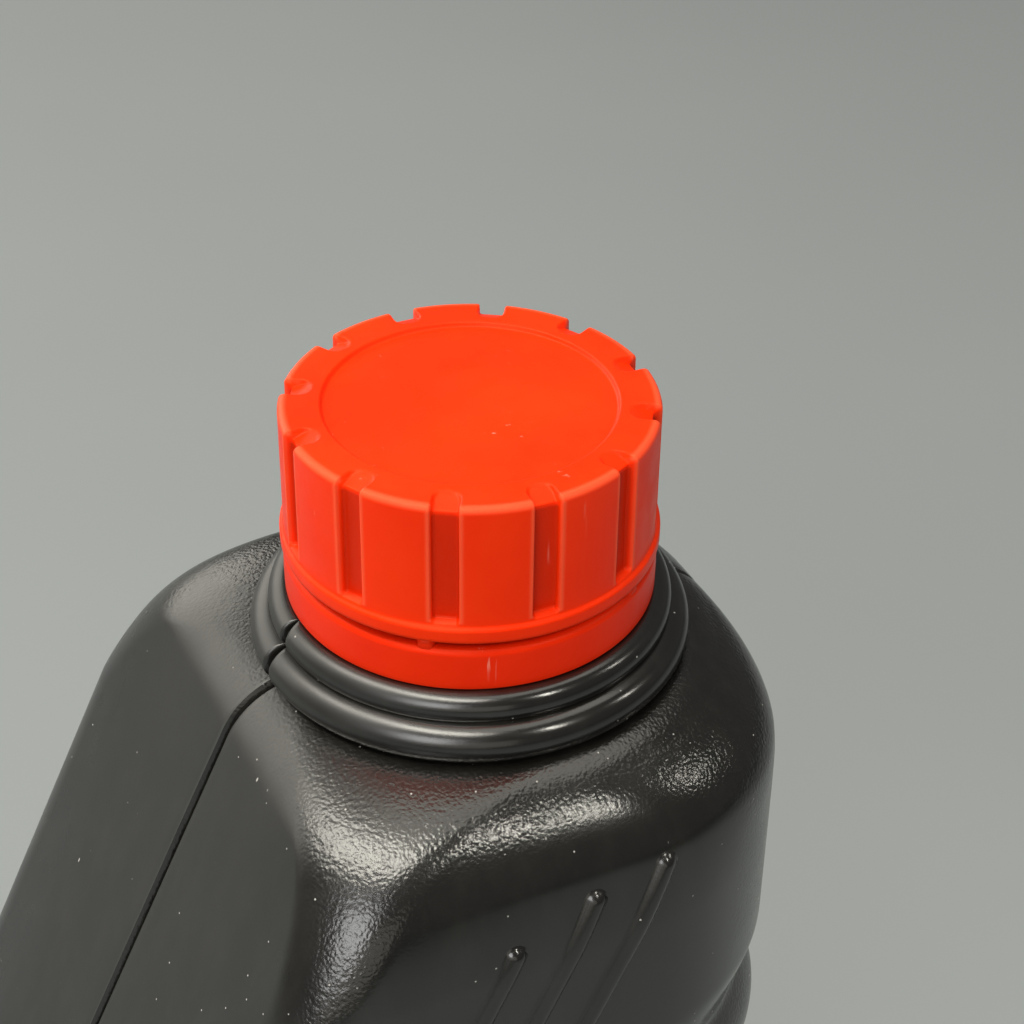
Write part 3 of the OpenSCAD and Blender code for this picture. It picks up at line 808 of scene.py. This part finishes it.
def matt_share(n, slant):
    """How much rougher the slanted side is: most in its middle, less at its corners."""
    y = n.place_mm()[1]
    return n.times(n.span(slant, 0.35, 0.9, 0.0, 0.22), n.fall(n.size(y), 12.0, 25.0, rest=0.35))


def pebbles(n):
    """Fine leathery cells, pushed about by a noise."""
    warp = n.node("ShaderNodeTexNoise", {"Vector": n.place, "Scale": 700.0, "Detail": 1.0})
    shifted = n.node("ShaderNodeMix", {0: 0.0006, 4: n.place, 5: warp.outputs["Color"]},
                     data_type="VECTOR")
    cells = n.node("ShaderNodeTexVoronoi", {
        "Vector": shifted.outputs[1], "Scale": 2200.0, "Smoothness": 0.5}, feature="SMOOTH_F1")
    return n.plus(n.times(cells.outputs["Distance"], -0.9), n.noise(2600.0))


def dust_and_lint(n):
    """Pale dots and short threads, in patches."""
    dust = n.specks(n.place, scale=480.0, size=0.07, keep=0.4)
    threads = n.stretch((1.0, 1.0, 0.22), (0.2, 0.5, 0.0))
    lint = n.specks(threads, scale=380.0, size=0.07, keep=0.82)
    patch = n.span(n.noise(26.0), 0.3, 0.52)
    return n.times(n.larger(dust, lint), patch, clamp=True)


def black_shell():
    """Black blown plastic: glossy, grained where it rolls over, a little dusty."""
    deep, light = (0.0062, 0.0057, 0.0047, 1), (0.0112, 0.0103, 0.0087, 1)
    dust_tone = (0.4, 0.39, 0.37, 1)
    n = Nodes("black_shell")
    slant = facing_slant(n)
    height = n.plus(n.times(pebbles(n), grain_share(n, slant)), n.times(n.noise(160.0), 0.35))
    height = n.plus(height, n.times(n.noise(5200.0), 0.05))
    dirt = dust_and_lint(n)
    haze = n.noise(240.0, 4.0, 0.7, n.stretch((1.0, 1.0, 0.15)))
    tone = n.mix(n.span(haze, 0.4, 0.75), deep, light)
    rough = n.span(n.noise(90.0, 3.0), 0.3, 0.7, 0.17, 0.24)
    rough = n.plus(rough, matt_share(n, slant))
    n.shade({
        "Base Color": n.mix(dirt, tone, dust_tone), "Roughness": n.plus(rough, n.times(dirt, 0.4)),
        "Normal": n.bump(height, 0.6, 0.09), "IOR": 1.53, "Specular IOR Level": 0.8})
    return n.material


def cap_marks(n):
    """Two masks from places on the cap: painted shade on each flute's floor, and a painted highlight
    along the flutes' lips and the rim.
    """
    x, y, z = n.place_mm()
    x = n.minus(x, NECK_X)
    out = n.math("SQRT", n.plus(n.times(x, x), n.times(y, y)))
    turn = n.minus(n.math("ARCTAN2", y, x), FLUTE_PHASE)
    # The angle in flute pitches, with a half at the middle of each flute
    pitches = n.plus(n.times(turn, FLUTE_COUNT / (2 * math.pi)), FLUTE_COUNT + 0.5)
    off = n.size(n.minus(n.math("FRACT", pitches), 0.5))
    aside = n.times(off, 2 * math.pi * CAP_R / FLUTE_COUNT)
    over_flange = n.span(z, CAP_Z + 2.1, CAP_Z + 2.4)
    on_side = n.fall(z, CAP_TOP - 1.6, CAP_TOP - 1.2)
    inset = n.fall(out, CAP_R - 0.9, CAP_R - 0.35)
    # Painted shade: darker tone on each flute's floor, where the recess gets less light
    flute_shade = n.times(n.times(inset, on_side), over_flange)
    # Painted highlight along the flutes' lips and the cap's rim, where their rounded edges catch
    # light
    from_lip = n.size(n.minus(aside, FLUTE_W / 2 + 0.25))
    lip = n.times(n.fall(from_lip, 0.0, 0.45), over_flange)
    lip = n.times(lip, n.span(out, CAP_R - 0.5, CAP_R - 0.2))
    rim = n.times(n.span(z, CAP_TOP - 0.8, CAP_TOP - 0.25), n.span(out, CAP_R - 1.1, CAP_R - 0.5))
    return flute_shade, n.larger(lip, rim)


def scuff_marks(n):
    """Short rubbed streaks in patches, and a few flecks."""
    rub = n.noise(900.0, 3.0, 0.6, n.stretch((1.0, 1.0, 0.08), (0.5, 0.2, 0.3)))
    rub = n.times(n.span(rub, 0.66, 0.76), n.span(n.noise(110.0), 0.56, 0.66))
    chips = n.stretch((1.0, 1.0, 0.3), (0.3, 0.6, 0.2))
    fleck = n.specks(chips, scale=260.0, size=0.06, keep=0.9)
    return n.larger(rub, fleck)


def red_plastic(name, deep, light, scuffs):
    """Orange-red moulded plastic: satin, slightly see-through and pale at its scuffs, with painted
    shade in the flutes and a painted highlight along the flutes' lips and the rim.
    """
    # Deeper tone for the painted shade in the flutes
    flute_shade_tone = tuple(0.6 * c for c in deep[:3]) + (1,)
    # Paler tone for the painted highlight along the flutes' lips and the rim; the scuff tone is real
    # wear
    edge_highlight_tone, scuff_tone = (1.0, 0.2, 0.09, 1), (0.95, 0.42, 0.3, 1)
    n = Nodes(name)
    flute_shade, edges = cap_marks(n)
    worn = n.times(scuff_marks(n), scuffs, clamp=True)
    tone = n.mix(n.span(n.noise(70.0, 3.0), 0.3, 0.7), deep, light)
    # Painted shade: the bottoms of the flutes take the deeper tone
    tone = n.mix(n.times(flute_shade, 0.75), tone, flute_shade_tone)
    # Painted highlight: the flutes' lips and the rim take the paler tone
    tone = n.mix(n.times(edges, 0.3), tone, edge_highlight_tone)
    rough = n.span(n.noise(300.0, 3.0), 0.3, 0.7, 0.36, 0.46)
    skin = n.plus(n.noise(900.0), n.times(n.noise(3600.0), 0.35))
    height = n.minus(skin, n.times(worn, 0.5))
    n.shade({
        "Base Color": n.mix(worn, tone, scuff_tone),
        "Roughness": n.plus(rough, n.times(worn, 0.25)),
        "Normal": n.bump(height, 0.22, 0.06), "IOR": 1.49, "Specular IOR Level": 0.26,
        "Specular Tint": (1.0, 0.5, 0.3, 1), "Subsurface Weight": 0.12,
        "Subsurface Radius": (0.0022, 0.0006, 0.0003), "Subsurface Scale": 1.0})
    return n.material


def liner_foam():
    """Off-white foam with fine cells."""
    n = Nodes("liner_foam")
    cells = n.node("ShaderNodeTexVoronoi", {"Vector": n.place, "Scale": 1800.0}).outputs["Distance"]
    n.shade({
        "Base Color": n.mix(n.noise(300.0, 3.0), (0.72, 0.7, 0.64, 1), (0.84, 0.82, 0.77, 1)),
        "Roughness": n.span(cells, 0.0, 0.7, 0.7, 0.9), "Normal": n.bump(cells, 0.4, 0.1)})
    return n.material


def floor_grey():
    """Plain light grey, very slightly cloudy."""
    n = Nodes("floor_grey")
    tone = n.mix(n.noise(6.0), (0.245, 0.265, 0.275, 1), (0.27, 0.29, 0.3, 1))
    n.shade({"Base Color": tone, "Roughness": 0.85})
    return n.material


def add_floor():
    """A plain square floor under the bottle, eight metres wide."""
    mesh = bpy.data.meshes.new("floor")
    half = 4.0
    corners = [(-half, -half, 0), (half, -half, 0), (half, half, 0), (-half, half, 0)]
    mesh.from_pydata(corners, [], [(0, 1, 2, 3)])
    mesh.materials.append(floor_grey())
    floor = bpy.data.objects.new("floor", mesh)
    bpy.context.scene.collection.objects.link(floor)


# Lamps: places from the middle of the shoulder and sizes in metres, power in watts
LAMP_AIM = Vector((0, -10, SHOULDER_H)) * MM
WARM, WHITE = (1.0, 0.965, 0.86), (1.0, 1.0, 1.0)


def add_light(name, place, width, length, power, colour=WARM, roll=0.0):
    """A soft rectangular lamp that faces the shoulder, its length level but for the roll."""
    lamp = bpy.data.lights.new(name, "AREA")
    lamp.shape = "RECTANGLE"
    lamp.size, lamp.size_y = length, width
    lamp.energy, lamp.color = power, colour
    thing = bpy.data.objects.new(name, lamp)
    bpy.context.scene.collection.objects.link(thing)
    thing.location = LAMP_AIM + Vector(place)
    aim = Vector(place).to_track_quat("Z", "Y").to_matrix()
    thing.rotation_euler = (aim @ Matrix.Rotation(math.radians(roll), 3, "Z")).to_euler()


def add_lights():
    """Soft lamps above and to the left, a low fill at the front and two small ones at the right."""
    add_light("left", (-0.40, 0.02, 0.97), width=0.26, length=1.2, power=14.0, roll=28)
    add_light("top", (0.26, 0.14, 1.15), width=0.9, length=0.9, power=4.2)
    add_light("left_back", (-0.50, 1.08, 0.40), width=0.8, length=1.5, power=8.4)
    add_light("front_left", (-0.72, -0.66, 0.52), width=0.5, length=0.5, power=4.2, colour=WHITE)
    add_light("fill", (-0.60, -1.05, 0.26), width=0.6, length=1.2, power=1.3)
    add_light("strip", (0.29, -0.66, 0.70), width=0.2, length=0.06, power=1.3)
    add_light("strip_right", (0.80, -0.38, 0.58), width=0.16, length=0.07, power=0.6)


def add_world():
    """Faint even light from all round."""
    world = bpy.data.worlds.new("studio")
    bpy.context.scene.world = world
    world.use_nodes = True
    back = world.node_tree.nodes["Background"]
    back.inputs["Color"].default_value = (1.0, 0.99, 0.97, 1)
    back.inputs["Strength"].default_value = 0.14


# The photograph's view, fitted to the cap's rims. HALF_FRAME, FOCAL and CAP_PLACE are in pixels of
# the 1024 x 1024 frame, and CAP_PLACE is where the middle of the cap's top is seen.
VIEW_LIFT, VIEW_ROLL, VIEW_TURN = math.radians(35.375), math.radians(0.7746), math.radians(26)
HALF_FRAME, FOCAL, CAP_PLACE = 512.0, 2280.0, (470.134, 398.619)
CAP_REACH, SENSOR_W, CLIP_START = 236.4, 36.0, 10.0


def add_camera():
    """Camera that sees the middle of the cap's top where the photograph does."""
    ahead = Vector((0, math.cos(VIEW_LIFT), -math.sin(VIEW_LIFT)))
    level = Vector((1, 0, 0))
    rise = level.cross(ahead)
    right = level * math.cos(VIEW_ROLL) + rise * math.sin(VIEW_ROLL)
    up = rise * math.cos(VIEW_ROLL) - level * math.sin(VIEW_ROLL)
    a, b = (CAP_PLACE[0] - HALF_FRAME) / FOCAL, (HALF_FRAME - CAP_PLACE[1]) / FOCAL
    back = -(ahead + right * a + up * b) * CAP_REACH
    spin = Matrix.Rotation(-VIEW_TURN, 3, "Z")
    place = (Vector((NECK_X, 0, CAP_TOP)) + spin @ back) * MM
    data = bpy.data.cameras.new("camera")
    data.sensor_fit, data.sensor_width = "HORIZONTAL", SENSOR_W
    data.lens = SENSOR_W * FOCAL / (2 * HALF_FRAME)
    data.clip_start = CLIP_START * MM
    camera = bpy.data.objects.new("camera", data)
    axes = Matrix((spin @ right, spin @ up, spin @ -ahead)).transposed()
    camera.matrix_world = Matrix.Translation(place) @ axes.to_4x4()
    bpy.context.scene.collection.objects.link(camera)
    bpy.context.scene.camera = camera


make_bottle(black_shell())
make_cap(red_plastic("red_cap", (0.9, 0.027, 0.0012, 1), (0.95, 0.035, 0.002, 1), 0.3))
make_band(red_plastic("red_band", (0.84, 0.021, 0.0012, 1), (0.9, 0.028, 0.002, 1), 0.75))
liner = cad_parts["cap_liner"]
liner.data.materials.clear()
liner.data.materials.append(liner_foam())

add_floor()
add_world()
add_lights()
add_camera()
bpy.context.scene.view_settings.view_transform = "Standard"
